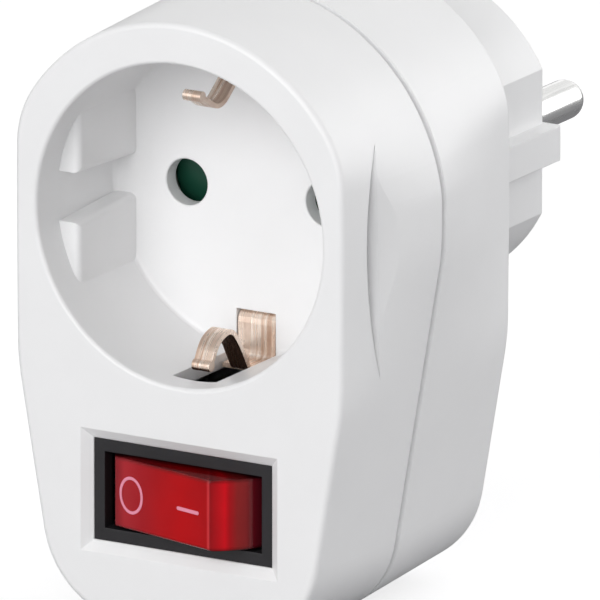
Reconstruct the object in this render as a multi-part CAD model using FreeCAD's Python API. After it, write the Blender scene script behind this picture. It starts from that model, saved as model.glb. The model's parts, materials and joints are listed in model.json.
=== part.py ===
import FreeCAD, Part
import math
import os

# A plug-in mains adaptor: an earthed socket with a lit rocker switch at the front, and a plug with two round
# pins at the back. Sizes are in millimetres. X runs across the front, Z is up, and Y is the depth. While the
# pieces are built, depth is counted from the front face. save() then moves each piece so that the origin lies
# on the plug's face, midway between the two pins.

V = FreeCAD.Vector
ALONG = V(0, 1, 0)
os.makedirs("parts", exist_ok=True)

# Clearances and laps used throughout: how far joined solids run into each other, the gap round a seated piece,
# and how far a cutting tool runs past what it cuts
lap = 0.5
snug = 0.1
past = 1.0

# Socket recess
recess_radius = 19.4
recess_depth = 17.5
recess_wall = 1.8
floor_thickness = 2.2
rim_round = 0.5
floor_round = 0.6
chord_half_width = 16.4
ledge_depth = 4.7
ledge_round = 0.8
keyway_half_front = 3.0
keyway_half_floor = 2.35

# Pins and pin holes
pin_spacing = 19.0
pin_diameter = 4.8
pin_length = 19.0
pin_hole_diameter = 5.6
pin_hole_bevel = 0.15
pin_shank_step = 0.2
pin_shank_gap = 0.02
pin_collar_radius = 3.8
pin_collar = 1.6
pin_tail_radius = 1.6
pin_tail = 5.0

# Body
body_depth = 38.8
front_depth = 18.4
part_gap = 0.8
wall = 2.2
front_wall = 2.4
rear_wall = 2.2
edge_round = 1.0
front_edge_round = 0.7
rim_width = 5.0
flank_width = 2.8
middle_bulge = 0.8
middle_flank = 2.9
rear_shrink = 0.2
flank_knee = 19.0
middle_knee = 3.0
chin = 8.7
middle_drop = 0.8
rear_lift = 0.6
taper_angle = 9.9
corner_radius = 12.0
shoulder_radius = 12.0
knee_radius = 30.0
rim_chamfer = 0.12
tongue_length = 2.0
tongue_thickness = 0.9
tongue_root = 1.2
tongue_gap = 0.15
lip_inset = 0.8

# Grip groove on each flank: a slot behind a steep lip, and a long shallow slope from the slot back to the
# surface. Its line runs where a slanting plane cuts the flank, and the corners of its widest cross-section are
# counted from that line. It narrows to a tip at both ends.
groove_top = 12.1
groove_bottom = -18.1
groove_depth = 6.5
groove_slant = 0.6
groove_lean = 0.028
groove_lip = 2.1
groove_inset = 1.75
groove_valley = 0.25
groove_step = 0.65
groove_crease = 0.86
groove_back = 3.85
groove_sections = 16
groove_fade = 0.04
groove_passes = 20

# Plug body
plug_length = 16.6
plug_radius = 19.0
plug_half_width = 16.85
plug_wall = 2.3
plug_face_wall = 2.6
rib_half_height = 2.1
rib_reach = 19.1
notch_half_width = 3.2
notch_depth = 2.0
earth_hole_height = 10.0
earth_hole_diameter = 5.6

# Switch
switch_drop = 14.1
switch_half_width = 13.2
switch_half_height = 6.8
switch_inset = 1.0
window_half_width = 12.1
window_half_height = 6.15
window_bevel = 1.3
switch_opening_half = 10.7
switch_wall = 2.15
lip_thickness = 1.8
cavity_half_width = 11.6
pivot_depth = 7.1
rocker_radius = 11.1
rocker_rise = 8.1
rocker_gap = 0.4
rocker_skin = 1.0
rocker_skirt_angle = 8.0
rocker_tilt = 13.2
rocker_edge_round = 0.35
pivot_radius = 1.25
pivot_clearance = 0.05
pivot_share = 0.6
core_half_length = 8.4
core_top = 3.5
core_bottom = -1.5
plunger_radius = 1.1
plunger_gap = 0.3
plunger_length = 3.6
plunger_bore_gap = 0.08
bore_floor = 1.2
plunger_spring_wire = 0.3
plunger_spring_turns = 4
socket_radius = 1.75
socket_bottom = -4.6
pole_offset = 1.9
blade_width = 2.6
blade_thickness = 0.7
blade_left = 7.4
blade_right = 4.5
knuckle_radius = 0.65
knuckle_lift = 0.5
cradle_clearance = 0.07
cradle_half_width = 1.4
contact_offset = 6.2
contact_radius = 1.1
contact_gap = 0.05
blade_swing = 10.0
cradle_height = 1.7
base_depth = 17.7
base_thickness = 2.0
spigot_height = 1.2
spigot_wall = 1.0
rest_width = 2.0
rest_past = 0.4
pole_wall_rise = 1.5
pole_wall_gap = 0.2
head_rim = 0.3
tab_length = 6.8
tab_thickness = 0.8
sleeve_width = 4.6
sleeve_height = 3.3
sleeve_length = 7.5
sleeve_start = 0.8
lamp_radius = 1.45
lamp_length = 6.4
lamp_start = 0.5
resistor_radius = 0.9
resistor_length = 4.4
resistor_inset = 0.8
lead_radius = 0.25

# Shutter and contact carrier
shutter_gap = 0.3
shutter_thickness = 3.2
shutter_radius = 13.0
shutter_hub_radius = 4.6
shutter_lobe_angle = 19.0
shutter_lobe_edge = 1.2
ramp_share = 0.3
shutter_post_radius = 2.0
spring_wire = 0.5
spring_mean_radius = 3.15
spring_turns = 3
spring_pitch = 0.75
carrier_thickness = 2.0
carrier_radius = 19.8
carrier_half_width = 19.0
carrier_gap = 0.6
post_radius = 2.3
post_angle = 118.0
post_reach = 12.0
chamber_wall = 1.2
chamber_half = 5.3
chamber_height = 6.6
chamber_depth = 9.6
leaf_thickness = 0.6
leaf_width = 6.0
leaf_pinch = 2.15
leaf_length = 8.4
leaf_waist = 5.0
leaf_root = 0.5
leaf_flare = 1.2
tail_width = 3.2
tail_reach = 11.5
solder_length = 3.5

# Earth parts, all of one strip thickness
strip = 0.6
clip_width = 5.1
clip_plate_top = 14.4
finger_width = 2.4
slot_clearance = 0.4
window_clearance = 0.12
foot_bend = 1.2
finger_bend = 7.0
finger_roll = 0.65
tail_tab = 4.0
upper_foot = 3.6
lower_foot = 3.4
# Each finger's line from its foot to its tip, as the distance ahead of the recess floor and in from its wall
upper_finger = [(5.0, 3.2), (9.9, 6.9), (14.0, 4.4)]
lower_finger = [(5.4, 2.4), (7.4, 4.9), (10.4, 4.1), (12.0, 1.4)]
slot_front = 3.6
earth_bar_half_width = 2.5
earth_bar_gap = 1.8
bar_end_inset = 0.4
link_height = -5.0
link_tab = 5.6
link_rivet_drop = 3.5
clip_rivet_drop = 2.2
rivet_radius = 0.9
rivet_head = 1.3
rivet_head_height = 0.6
bracket_half_width = 2.4
bracket_inset = 2.2
bracket_end_inset = 0.3

# Fasteners
screw_radius = 1.5
screw_head_radius = 2.7
screw_head = 2.0
screw_x = 9.5
screw_floor_gap = 5.4
screw_length = 15.0
well_radius = 3.0
boss_radius = 2.9
tube_wall = 0.9
tube_floor = 4.0
tube_start = 24.0
small_screw_radius = 1.1
small_head_radius = 2.1
small_head = 1.5
small_screw_length = 6.0
small_screw_gap = 0.4
cross_reach = 0.62
cross_width = 0.7
cross_depth = 0.55

# Wires
wire_radius = 1.1
wire_dip = 3.0
wire_swing = 3.3
wire_rise = 8.5
wire_level = 8.0
wire_entry = 2.8
wire_inset = 10.7
wire_slope = 7.6
wire_straight = 4.8
core_radius = 0.6

# Places that follow from the sizes above
parting = front_depth
plug_face = body_depth + plug_length
floor_back = recess_depth + floor_thickness
switch_height = -(recess_radius + switch_drop)
front_bottom = switch_height - switch_half_height - chin
taper = math.radians(taper_angle)
pin_x = pin_spacing / 2
pin_radius = pin_diameter / 2
shutter_front = floor_back + shutter_gap
shutter_back = shutter_front + shutter_thickness
carrier_front = shutter_back + carrier_gap
carrier_back = carrier_front + carrier_thickness
bar_front = carrier_back + earth_bar_gap
plug_inner = plug_radius - plug_wall
fulcrum_depth = base_depth - cradle_height
web_depth = body_depth + bracket_inset
face_inner = plug_face - plug_face_wall
screw_z = front_bottom + screw_floor_gap
tab_end = base_depth + base_thickness + tab_length
sleeve_front = base_depth + base_thickness + sleeve_start
sleeve_back = sleeve_front + sleeve_length
side_height = switch_half_height - switch_wall
rocker_half_height = side_height - rocker_gap
shutter_pocket = spring_turns * spring_pitch + spring_wire - carrier_gap + 2 * snug
clip_rivet = clip_plate_top - clip_rivet_drop
link_rivet = link_height - link_rivet_drop
pole_wall = 2 * (pole_offset - pole_wall_gap) - blade_width
pivot_reach = rocker_gap + switch_wall * pivot_share
plunger_offset = pole_offset - snug
plunger_reach = fulcrum_depth - knuckle_lift - blade_thickness - plunger_gap - pivot_depth
lamp_centre_rise = rocker_rise - rocker_skin - lamp_radius - 2 * snug


def save(name, shape):
    shape = shape.copy()
    shape.translate(V(0, -plug_face, 0))
    shape.exportStep(f"parts/{name}.step")


def box(x0, x1, y0, y1, z0, z1):
    return Part.makeBox(x1 - x0, y1 - y0, z1 - z0, V(x0, y0, z0))


def rod(x, y0, y1, z, radius):
    return Part.makeCylinder(radius, y1 - y0, V(x, y0, z), ALONG)


def mirror_x(shape):
    return shape.mirror(V(0, 0, 0), V(1, 0, 0))


def closed_face(edges):
    return Part.Face(Part.Wire(edges))


def polygon(points):
    return Part.Face(Part.makePolygon(points + [points[0]]))


def line(a, b):
    return Part.LineSegment(a, b).toShape()


def arc(a, middle, b):
    return Part.Arc(a, middle, b).toShape()


# The outline of the body at a depth: a round top, shoulders, flanks that bend in at a soft knee, tapered lower
# sides, round corners and a flat bottom. Its sizes change evenly from the front to the parting plane and from
# there to the back.
def outline_sizes(depth):
    front = (recess_radius + rim_width, recess_radius + flank_width, -flank_knee, front_bottom)
    middle = (
        front[0] + middle_bulge,
        front[1] + middle_flank,
        -middle_knee,
        front_bottom - middle_drop,
    )
    back = (front[0] - rear_shrink, front[1] - rear_shrink, -flank_knee, front_bottom + rear_lift)
    if depth <= parting:
        start, end, share = front, middle, depth / parting
    else:
        start, end, share = middle, back, (depth - parting) / (body_depth - parting)
    return [a + (b - a) * share for a, b in zip(start, end)]


# The heights at which one side of an outline passes from one arc or line to the next
def side_levels(depth, inset):
    radius, half, knee, _ = outline_sizes(depth)
    shoulder = math.sqrt((radius - shoulder_radius) ** 2 - (half - shoulder_radius) ** 2)
    knee_top = knee + knee_radius * math.tan(taper / 2)
    return [
        shoulder * (radius - inset) / (radius - shoulder_radius),
        shoulder,
        knee_top,
        knee_top - (knee_radius - inset) * math.sin(taper),
    ]


# How far out one side of an outline lies at a height above its bottom corner
def side_reach(depth, inset, height):
    radius, half, _, _ = outline_sizes(depth)
    crown, shoulder, knee_top, knee_low = side_levels(depth, inset)
    if height >= crown:
        return math.sqrt((radius - inset) ** 2 - height**2)
    if height >= shoulder:
        bend = shoulder_radius - inset
        return half - shoulder_radius + math.sqrt(bend**2 - (height - shoulder) ** 2)
    if height >= knee_top:
        return half - inset
    bend = knee_radius - inset
    if height >= knee_low:
        return half - knee_radius + math.sqrt(bend**2 - (knee_top - height) ** 2)
    return half - knee_radius + bend * math.cos(taper) - math.tan(taper) * (knee_low - height)


def outline(depth, inset, levels):
    bottom = outline_sizes(depth)[3]
    corner_z = bottom + corner_radius
    corner_x = side_reach(depth, 0, corner_z) - corner_radius / math.cos(taper)
    bend = corner_radius - inset

    def on_side(side, height):
        return V(side * side_reach(depth, inset, height), depth, height)

    def on_corner(side, angle):
        return V(side * (corner_x + bend * math.cos(angle)), depth, corner_z - bend * math.sin(angle))

    def half_edges(side):
        stops = levels + [on_corner(side, taper).z]
        edges = []
        for high, low in zip(stops, stops[1:]):
            a, middle, b = [on_side(side, z) for z in (high, (high + low) / 2, low)]
            straight = abs(middle.x - (a.x + b.x) / 2) < 1e-7
            edges.append(line(a, b) if straight else arc(a, middle, b))
        turn = (taper + math.pi / 2) / 2
        edges.append(arc(on_corner(side, taper), on_corner(side, turn), on_corner(side, math.pi / 2)))
        return edges

    top = V(0, depth, outline_sizes(depth)[0] - inset)
    crown = [arc(on_side(-1, levels[0]), top, on_side(1, levels[0]))]
    floor_line = [line(on_corner(1, math.pi / 2), on_corner(-1, math.pi / 2))]
    return Part.Wire(Part.__sortEdges__(crown + half_edges(1) + floor_line + half_edges(-1)))


# A length of the body between two depths, with straight lines that join points of equal height
def hull(start, end, inset, end_inset=None):
    end_inset = inset if end_inset is None else end_inset
    levels = sorted(side_levels(start, inset) + side_levels(end, end_inset), reverse=True)
    sections = [outline(start, inset, levels), outline(end, end_inset, levels)]
    return Part.makeLoft(sections, True, True)


def edges_at_depth(shape, depth, least_reach):
    found = []
    for edge in shape.Edges:
        bounds = edge.BoundBox
        flat = abs(bounds.YMin - depth) < 0.01 and abs(bounds.YMax - depth) < 0.01
        reach = max(math.hypot(v.X, v.Z) for v in edge.Vertexes)
        if flat and reach > least_reach:
            found.append(edge)
    return found


# The rocker, its core and what it holds are drawn level and then tilted about the pivot, O side pressed in.
def pressed(shape):
    shape = shape.copy()
    shape.rotate(V(0, pivot_depth, switch_height), V(0, 0, 1), -rocker_tilt)
    return shape


def front_shell():
    rim = parting - part_gap / 2
    outside = hull(0, rim - rim_chamfer, 0)
    outside = outside.makeFillet(front_edge_round, edges_at_depth(outside, 0, 0))
    outside = outside.fuse(hull(rim - rim_chamfer, rim, 0, rim_chamfer))
    shell = outside.cut(hull(front_wall, parting, wall))
    shell = shell.fuse(rod(0, front_wall / 2, floor_back, 0, recess_radius + recess_wall))
    for side in (-1, 1):
        shell = shell.fuse(rod(side * screw_x, front_wall / 2, tube_start, screw_z, boss_radius))
    for side in (-1, 1):
        pilot = rod(side * screw_x, front_wall + past, tube_start, screw_z, screw_radius)
        shell = shell.cut(pilot)
        angle = math.radians(post_angle + (0 if side > 0 else 180))
        post_x = post_reach * math.cos(angle)
        post_z = post_reach * math.sin(angle)
        shell = shell.fuse(rod(post_x, floor_back - lap, carrier_front, post_z, post_radius))
    shell = shell.cut(recess_tool())
    for side in (-1, 1):
        shell = shell.fuse(chord_block(side))
    shell = shell.fuse(rod(0, floor_back - lap, shutter_back - 2 * snug, 0, shutter_post_radius))
    for side in (-1, 1):
        shell = shell.cut(rod(side * pin_x, recess_depth - past, floor_back + past, 0, pin_hole_diameter / 2))
        bevel = Part.makeCone(
            pin_hole_diameter / 2 + pin_hole_bevel,
            pin_hole_diameter / 2,
            pin_hole_bevel,
            V(side * pin_x, recess_depth, 0),
            ALONG,
        )
        shell = shell.cut(bevel)
        angle = math.radians(post_angle + (0 if side > 0 else 180))
        hole_start = carrier_back - small_screw_length
        shell = shell.cut(
            rod(post_reach * math.cos(angle), hole_start, carrier_front + past, post_reach * math.sin(angle),
                small_screw_radius)
        )
        shell = shell.cut(earth_slot(side))
        shell = shell.cut(grip_groove(side))
    shell = shell.cut(switch_window())
    return shell


# The recess with its rounded rim and floor edge, as one turned solid
def recess_tool():
    rim = recess_radius + rim_round
    diagonal = math.sqrt(0.5)

    def at(r, depth):
        return V(r, depth, 0)

    edges = [
        line(at(0, -past), at(rim, -past)),
        line(at(rim, -past), at(rim, 0)),
        arc(
            at(rim, 0),
            at(rim - rim_round * diagonal, rim_round * (1 - diagonal)),
            at(recess_radius, rim_round),
        ),
        line(at(recess_radius, rim_round), at(recess_radius, recess_depth - floor_round)),
        arc(
            at(recess_radius, recess_depth - floor_round),
            at(
                recess_radius - floor_round * (1 - diagonal),
                recess_depth - floor_round * (1 - diagonal),
            ),
            at(recess_radius - floor_round, recess_depth),
        ),
        line(at(recess_radius - floor_round, recess_depth), at(0, recess_depth)),
        line(at(0, recess_depth), at(0, -past)),
    ]
    return closed_face(edges).revolve(V(0, 0, 0), ALONG, 360)


# The flat chord on one side of the recess, split by its keyway
def chord_block(side):
    reach = recess_radius + recess_wall / 2
    back = recess_depth + lap
    block = rod(0, ledge_depth, back, 0, reach)
    block = block.common(box(chord_half_width, reach, ledge_depth, back, -reach, reach))
    x0 = chord_half_width - past
    x1 = recess_radius + 2 * past

    def keyway_at(depth, half):
        points = [V(x0, depth, -half), V(x1, depth, -half), V(x1, depth, half), V(x0, depth, half)]
        return Part.makePolygon(points + [points[0]])

    widen = (keyway_half_front - keyway_half_floor) / (recess_depth - ledge_depth)
    front = keyway_at(ledge_depth - past, keyway_half_front + widen * past)
    floor = keyway_at(back + past, keyway_half_floor - widen * (lap + past))
    block = block.cut(Part.makeLoft([front, floor], True, True))
    soft = []
    for edge in block.Edges:
        middle = edge.valueAt((edge.FirstParameter + edge.LastParameter) / 2)
        on_chord = abs(middle.x - chord_half_width) < 0.01
        near_keyway = keyway_half_floor / 2 < abs(middle.z) < keyway_half_front
        at_ledge = abs(middle.y - ledge_depth) < 0.01
        if on_chord and (near_keyway or at_ledge):
            soft.append(edge)
    block = block.makeFillet(ledge_round, soft)
    return block if side > 0 else mirror_x(block)


# The opening for one earth clip: through the wall of the recess and through its floor
def earth_slot(side):
    half = clip_width / 2 + slot_clearance
    deep = recess_radius + recess_wall
    slot = box(-half, half, slot_front, recess_depth, recess_radius - recess_wall, deep + pin_shank_step)
    half = clip_width / 2 + window_clearance
    window = box(-half, half, recess_depth, floor_back + past, clip_plate_top - window_clearance, deep)
    tool = slot.fuse(window)
    return tool if side > 0 else tool.mirror(V(0, 0, 0), V(0, 0, 1))


# The depth at which the groove's line lies at a height, found in passes that each come closer
def groove_line(height, middle):
    plane = side_reach(groove_depth, 0, middle) + groove_slant * groove_depth
    outward = plane - groove_lean * (height - middle)
    depth = groove_depth
    for _ in range(groove_passes):
        depth = (outward - side_reach(depth, 0, height)) / groove_slant
    return depth


# A cutting tool whose cross-section grows and shrinks along the groove's line, out of the flank at both tips
def grip_groove(side):
    middle = (groove_top + groove_bottom) / 2
    half = (groove_top - groove_bottom) / 2
    overrun = 1 + groove_fade
    sections = []
    for step in range(groove_sections + 1):
        share = overrun * (1 - 2 * step / groove_sections)
        height = middle + half * share
        fullness = 1 - share**2
        scale = max(fullness, groove_fade)
        lift = (scale - fullness) * groove_inset
        corners = [
            (groove_valley, -groove_inset),
            (groove_crease, -groove_step),
            (2 * groove_back - groove_crease, groove_step),
            (-2 * groove_lip - groove_valley, groove_inset),
        ]
        points = []
        for back, out in corners:
            depth = groove_line(height, middle) + back * scale
            points.append(V(side_reach(depth, 0, height) + out * scale + lift, depth, height))
        sections.append(Part.makePolygon(points + [points[0]]))
    tool = Part.makeLoft(sections, True, False)
    return tool if side > 0 else mirror_x(tool)


def switch_window():
    w = window_half_width
    h = window_half_height
    z = switch_height
    b = window_bevel
    grow = b * (switch_inset + past) / switch_inset

    def frame_wire(half_w, half_h, depth):
        corners = [(-half_w, -half_h), (half_w, -half_h), (half_w, half_h), (-half_w, half_h)]
        points = [V(x, depth, z + dz) for x, dz in corners]
        return Part.makePolygon(points + [points[0]])

    bevel = Part.makeLoft(
        [frame_wire(w + grow, h + grow, -past), frame_wire(w, h, switch_inset)], True, True
    )
    seat = box(
        -switch_half_width - pivot_clearance,
        switch_half_width + pivot_clearance,
        switch_inset,
        front_wall + past,
        z - switch_half_height - pivot_clearance,
        z + switch_half_height + pivot_clearance,
    )
    return bevel.fuse(seat)


def rear_shell():
    start = parting + part_gap / 2
    outside = hull(start + rim_chamfer, body_depth, 0)
    outside = outside.makeFillet(edge_round, edges_at_depth(outside, body_depth, 0))
    outside = outside.fuse(hull(start, start + rim_chamfer, rim_chamfer, 0))
    lip = hull(parting - part_gap / 2, parting + part_gap / 2, lip_inset)
    shell = outside.fuse(lip).cut(hull(parting - part_gap, body_depth - rear_wall, wall))
    tongue = hull(parting - tongue_length, start + tongue_root / 2, wall + tongue_gap)
    tongue = tongue.fuse(hull(start, start + tongue_root, wall / 2))
    inner = wall + tongue_gap + tongue_thickness
    tongue = tongue.cut(hull(parting - tongue_length - past, start + tongue_root + past, inner))
    for side in (-1, 1):
        tongue = tongue.cut(rod(side * screw_x, 0, tube_start, screw_z, boss_radius + tongue_gap))
    shell = shell.fuse(tongue)
    shell = shell.fuse(plug_body())
    shell = shell.cut(rod(0, body_depth - rear_wall - past, face_inner, 0, plug_inner))
    for side in (-1, 1):
        tube = rod(side * screw_x, tube_start + snug, body_depth - lap, screw_z, well_radius + tube_wall)
        shell = shell.fuse(tube)
        shell = shell.cut(rod(side * screw_x, tube_start - past, body_depth, screw_z, screw_radius + snug))
        well = rod(side * screw_x, tube_start + tube_floor, body_depth + past, screw_z, well_radius)
        shell = shell.cut(well)
        pin_hole = pin_radius + pin_shank_step + pin_shank_gap
        shell = shell.cut(rod(side * pin_x, face_inner - past, plug_face + past, 0, pin_hole))
    shell = shell.cut(rod(0, face_inner - past, plug_face + past, earth_hole_height, earth_hole_diameter / 2))
    slot_half = bracket_half_width + snug
    slot_end = web_depth + strip + snug
    shell = shell.cut(box(-slot_half, slot_half, web_depth - snug, slot_end, -plug_radius, plug_radius))
    return shell


# The round plug body with its flats, side ribs and the notches for the earth strips
def plug_body():
    start = body_depth - rear_wall
    body = rod(0, start, plug_face, 0, plug_radius)
    keep = box(-plug_half_width, plug_half_width, start, plug_face, -plug_radius, plug_radius)
    body = body.common(keep)
    body = body.makeFillet(edge_round, edges_at_depth(body, plug_face, 0))
    rib = box(-rib_reach, rib_reach, start, plug_face, -rib_half_height, rib_half_height)
    rib_edges = [e for e in edges_at_depth(rib, plug_face, 0) if abs(e.Vertexes[0].X - e.Vertexes[1].X) < 1]
    rib = rib.makeFillet(edge_round / 2, rib_edges)
    body = body.fuse(rib)
    for side in (-1, 1):
        floor_z = plug_radius - notch_depth
        low, high = sorted((side * floor_z, side * (plug_radius + past)))
        body = body.cut(box(-notch_half_width, notch_half_width, body_depth, plug_face + past, low, high))
    return body


def plug_pin(side):
    x = side * pin_x
    straight_end = plug_face + pin_length - pin_radius
    pin = rod(x, plug_face, straight_end, 0, pin_radius)
    pin = pin.fuse(Part.makeSphere(pin_radius, V(x, straight_end, 0)))
    pin = pin.fuse(rod(x, face_inner, plug_face, 0, pin_radius + pin_shank_step))
    pin = pin.fuse(rod(x, face_inner - pin_collar, face_inner, 0, pin_collar_radius))
    tail_start = face_inner - pin_collar - pin_tail
    pin = pin.fuse(rod(x, tail_start, face_inner - pin_collar, 0, pin_tail_radius))
    return pin.cut(rod(x, tail_start, tail_start + pin_tail / 2, 0, core_radius))


# The rotating shutter: a hub with two ramped lobes that cover the pin holes
def shutter():
    hub = rod(0, shutter_front, shutter_back, 0, shutter_hub_radius)
    body = hub
    for turn in (0, 180):
        a0 = math.radians(turn - shutter_lobe_angle)
        a1 = math.radians(turn + shutter_lobe_angle)
        am = math.radians(turn)

        def at(angle):
            return V(shutter_radius * math.cos(angle), shutter_front, shutter_radius * math.sin(angle))

        centre = V(0, shutter_front, 0)
        sector = closed_face([line(centre, at(a0)), arc(at(a0), at(am), at(a1)), line(at(a1), centre)])
        lobe = sector.extrude(V(0, shutter_thickness, 0))
        ramp = box(shutter_hub_radius, 2 * shutter_radius, -shutter_radius, 0, -shutter_radius, shutter_radius)
        fall = shutter_thickness - shutter_lobe_edge
        slope = math.degrees(math.atan2(fall, 2 * shutter_radius * ramp_share))
        ramp.rotate(V(0, 0, 0), V(1, 0, 0), -slope)
        ramp.translate(V(0, shutter_front, -shutter_radius * ramp_share))
        ramp.rotate(V(0, 0, 0), V(0, 1, 0), -turn)
        body = body.fuse(lobe.cut(ramp))
    body = body.cut(rod(0, shutter_front - past, shutter_back + past, 0, shutter_post_radius + pivot_clearance))
    pocket_outer = spring_mean_radius + spring_wire
    pocket_inner = spring_mean_radius - spring_wire
    pocket = rod(0, shutter_back - shutter_pocket, shutter_back + past, 0, pocket_outer)
    pocket = pocket.cut(rod(0, shutter_back - shutter_pocket - past, shutter_back + 2 * past, 0, pocket_inner))
    return body.cut(pocket)


# Two tangent arcs that join two points with given directions
def biarc(a, ta, b, tb):
    gap = b - a
    total = ta + tb
    k = 2 * (ta.dot(tb) - 1)
    along = gap.dot(total)
    if abs(k) < 1e-9:
        reach = gap.dot(gap) / (2 * along)
    else:
        reach = (along - math.sqrt(along**2 - k * gap.dot(gap))) / k
    joint = (a + ta * reach + b - tb * reach) * 0.5
    return [tangent_arc(a, ta, joint), tangent_arc(b, tb * -1, joint)]


def tangent_arc(a, tangent, b):
    chord = b - a
    length = chord.Length
    unit = chord * (1 / length)
    side = tangent - unit * tangent.dot(unit)
    turn = math.acos(max(-1.0, min(1.0, tangent.dot(unit))))
    sag = side * (1 / side.Length) * (length / 2 * math.tan(turn / 2))
    return arc(a, (a + b) * 0.5 + sag, b)


# A coil of round wire along +Y from a start point, swept along biarcs of a quarter turn
def coil(x, depth, z, mean_radius, wire, turns, pitch):
    rise = pitch / (2 * math.pi)
    edges = []
    quarter = math.pi / 2

    def place(angle):
        return V(x + mean_radius * math.cos(angle), depth + rise * angle, z + mean_radius * math.sin(angle))

    def direction(angle):
        t = V(-mean_radius * math.sin(angle), rise, mean_radius * math.cos(angle))
        return t * (1 / t.Length)

    for i in range(int(turns * 4)):
        start = i * quarter
        end = start + quarter
        edges += biarc(place(start), direction(start), place(end), direction(end))
    path = Part.Wire(Part.__sortEdges__(edges))
    section = Part.Wire(Part.makeCircle(wire / 2, place(0), direction(0)))
    return path.makePipeShell([section], True, False)


def contact_carrier():
    plate = rod(0, carrier_front, carrier_back, 0, carrier_radius)
    plate = plate.common(
        box(-carrier_half_width, carrier_half_width, carrier_front, carrier_back, -carrier_radius,
            carrier_radius)
    )
    body = plate
    for side in (-1, 1):
        x = side * pin_x
        outer = box(x - chamber_half, x + chamber_half, carrier_back, carrier_back + chamber_depth,
                    -chamber_height, chamber_height)
        body = body.fuse(outer)
    for side in (-1, 1):
        x = side * pin_x
        inner_half = chamber_half - chamber_wall
        body = body.cut(
            box(x - inner_half, x + inner_half, carrier_back, carrier_back + chamber_depth + past,
                -chamber_height - past, chamber_height - chamber_wall)
        )
        body = body.cut(rod(x, carrier_front - past, carrier_back + past, 0, pin_hole_diameter / 2 + 2 * snug))
        angle = math.radians(post_angle + (0 if side > 0 else 180))
        body = body.cut(
            rod(post_reach * math.cos(angle), carrier_front - past, carrier_back + past,
                post_reach * math.sin(angle), small_screw_radius + snug)
        )
        half = clip_width / 2 + slot_clearance
        room = 3 * snug
        low, high = sorted((side * (clip_plate_top - room), side * (clip_plate_top + strip + room)))
        body = body.cut(box(-half, half, carrier_front - past, carrier_back + past, low, high))
    return body


# One socket contact: a base plate with a wire tail and two sprung leaves that pinch the pin
def socket_contact(side):
    x = side * pin_x
    half = leaf_width / 2
    back = carrier_back + leaf_thickness
    body = box(x - half, x + half, carrier_back, back, -chamber_height, chamber_height - 2 * chamber_wall)
    tail_half = tail_width / 2
    body = body.fuse(box(x - tail_half, x + tail_half, carrier_back, back, -tail_reach, 0))
    for up in (-1, 1):
        root = up * (pin_hole_diameter / 2 + leaf_root)
        profile = [
            (carrier_back, root),
            (carrier_back + leaf_waist, up * leaf_pinch),
            (carrier_back + leaf_length, up * (leaf_pinch + leaf_flare)),
        ]
        inner = [V(x - half, d, h) for d, h in profile]
        outer = [V(x - half, d, h + up * leaf_thickness) for d, h in reversed(profile)]
        body = body.fuse(polygon(inner + outer).extrude(V(leaf_width, 0, 0)))
    return body.cut(rod(x, carrier_back - past, carrier_back + leaf_thickness + past, 0, pin_hole_diameter / 2))


# A bent strip: a line of (depth, height) points given thickness to its left, extruded across X
def bent_strip(points, width):
    left = []
    right = []
    for i, (d, h) in enumerate(points):
        before = points[max(i - 1, 0)]
        after = points[min(i + 1, len(points) - 1)]
        dirs = []
        if i > 0:
            dirs.append(unit2(d - before[0], h - before[1]))
        if i < len(points) - 1:
            dirs.append(unit2(after[0] - d, after[1] - h))
        nx = sum(-u[1] for u in dirs)
        ny = sum(u[0] for u in dirs)
        size = math.hypot(nx, ny)
        nx, ny = nx / size, ny / size
        stretch = 1 / (nx * -dirs[0][1] + ny * dirs[0][0])
        left.append((d + nx * strip / 2 * stretch, h + ny * strip / 2 * stretch))
        right.append((d - nx * strip / 2 * stretch, h - ny * strip / 2 * stretch))
    ring = [V(-width / 2, d, h) for d, h in left + right[::-1]]
    return polygon(ring).extrude(V(width, 0, 0))


def unit2(a, b):
    size = math.hypot(a, b)
    return (a / size, b / size)


# Smooth the bends of a strip's line: each corner becomes a few points on an arc
def rounded(points, radius, steps=4):
    out = [points[0]]
    for i in range(1, len(points) - 1):
        p, c, n = points[i - 1], points[i], points[i + 1]
        a = unit2(p[0] - c[0], p[1] - c[1])
        b = unit2(n[0] - c[0], n[1] - c[1])
        turn = math.acos(max(-1.0, min(1.0, a[0] * b[0] + a[1] * b[1])))
        reach = min(
            radius / math.tan(turn / 2),
            0.45 * math.hypot(p[0] - c[0], p[1] - c[1]),
            0.45 * math.hypot(n[0] - c[0], n[1] - c[1]),
        )
        start = (c[0] + a[0] * reach, c[1] + a[1] * reach)
        end = (c[0] + b[0] * reach, c[1] + b[1] * reach)
        for k in range(steps + 1):
            t = k / steps
            q0 = (start[0] + (c[0] - start[0]) * t, start[1] + (c[1] - start[1]) * t)
            q1 = (c[0] + (end[0] - c[0]) * t, c[1] + (end[1] - c[1]) * t)
            out.append((q0[0] + (q1[0] - q0[0]) * t, q0[1] + (q1[1] - q0[1]) * t))
    out.append(points[-1])
    return out


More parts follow.
